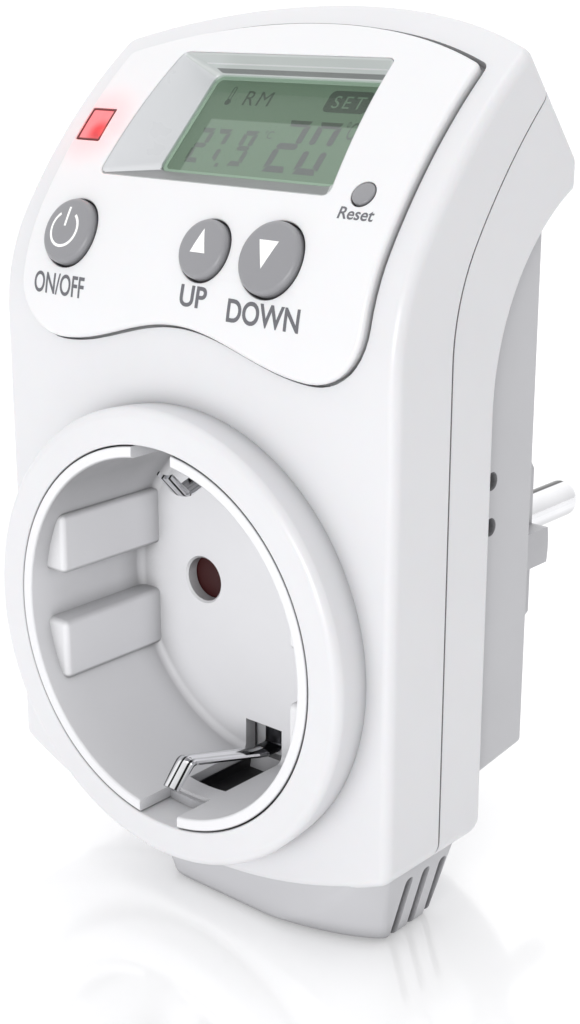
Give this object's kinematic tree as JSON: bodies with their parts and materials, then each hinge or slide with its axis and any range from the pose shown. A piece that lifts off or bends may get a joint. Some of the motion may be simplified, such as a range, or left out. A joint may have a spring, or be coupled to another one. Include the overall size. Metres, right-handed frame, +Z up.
{
  "type": "plug-in thermostat",
  "caption": "Plug-in mains thermostat with an earthed through socket, a tilted display head with push keys, a round earthed plug behind and a vented sensor foot.",
  "frame": {"origin": "on the surface that the foot stands on, under the middle of the bounding box", "axes": "front faces -Y, +X to the viewer's right, +Z up; the plug's pins point to +Y"},
  "size_m": [0.0562, 0.0672, 0.0967],
  "materials": {
    "white_shell": "smooth white moulded plastic, satin gloss",
    "pale_shell": "pale grey moulded plastic, satin",
    "key_grey": "mid grey keys, soft satin",
    "bezel_grey": "grey-green translucent bezel",
    "clear_window": "clear polished window",
    "lcd_green": "green reflective display",
    "lamp_red": "red translucent lens",
    "led_red": "red moulded lamp",
    "nickel": "bright nickel plate",
    "brass_contact": "bare brass strip",
    "screw_steel": "zinc plated steel",
    "board_green": "green solder mask",
    "black_part": "black moulded component",
    "relay_blue": "blue relay case",
    "capacitor_yellow": "yellow film capacitor case",
    "ceramic": "pale ceramic",
    "shutter_red": "dark red plastic",
    "carrier_grey": "dark grey heat-proof plastic",
    "cable_brown": "brown wire insulation",
    "cable_grey": "grey wire insulation"
  },
  "bodies": {
    "housing": {"front_cover": "white_shell", "rear_cover": "white_shell", "plug_housing": "pale_shell", "plug_body": "pale_shell", "sensor_foot": "pale_shell", "case_screws": "screw_steel", "keypad_panel": "white_shell", "display_bezel": "bezel_grey", "display_window": "clear_window", "lcd_module": "lcd_green", "lamp_window": "lamp_red", "signal_lamp": "led_red", "key_switches": "black_part", "key_board": "board_green", "display_board": "board_green", "power_board": "board_green", "controller_chip": "black_part", "backup_cell": "screw_steel", "ribbon_cable": "cable_grey", "relay": "relay_blue", "film_capacitor": "capacitor_yellow", "storage_capacitor": "black_part", "fuse": "ceramic", "socket_collar": "white_shell", "socket_well": "pale_shell", "socket_floor": "pale_shell", "guide_ribs": "pale_shell", "socket_earth_clip": "nickel", "shutter_spring": "screw_steel", "contact_carrier": "carrier_grey", "line_sleeve": "brass_contact", "neutral_sleeve": "brass_contact", "earth_link": "brass_contact", "neutral_link": "brass_contact", "line_wires": "cable_brown", "line_pin": "nickel", "neutral_pin": "nickel", "plug_earth_strap": "nickel", "temperature_sensor": "black_part", "sensor_lead": "cable_grey"},
    "power_key": {"power_button": "key_grey"},
    "up_key": {"up_button": "key_grey"},
    "down_key": {"down_button": "key_grey"},
    "reset_key": {"reset_button": "key_grey"},
    "shutter_bar": {"shutter": "shutter_red"}
  },
  "joints": [
    {"name": "power_press", "type": "slide", "parent": "housing", "child": "power_key", "axis": [0, 0.8994, -0.4371], "range_m": [0, 0.0008], "stiffness_N_per_m": 400, "springref_m": -0.001},
    {"name": "up_press", "type": "slide", "parent": "housing", "child": "up_key", "axis": [0, 0.8994, -0.4371], "range_m": [0, 0.0008], "stiffness_N_per_m": 400, "springref_m": -0.001},
    {"name": "down_press", "type": "slide", "parent": "housing", "child": "down_key", "axis": [0, 0.8994, -0.4371], "range_m": [0, 0.0008], "stiffness_N_per_m": 400, "springref_m": -0.001},
    {"name": "reset_press", "type": "slide", "parent": "housing", "child": "reset_key", "axis": [0, 0.7158, -0.6983], "range_m": [0, 0.0008], "stiffness_N_per_m": 400, "springref_m": -0.001},
    {"name": "shutter_turn", "type": "hinge", "parent": "housing", "child": "shutter_bar", "pos_m": [0, -0.01365, 0.031], "axis": [0, 1, 0], "range_deg": [0, 38], "stiffness_Nm_per_rad": 0.01, "springref_deg": -22.92}
  ]
}
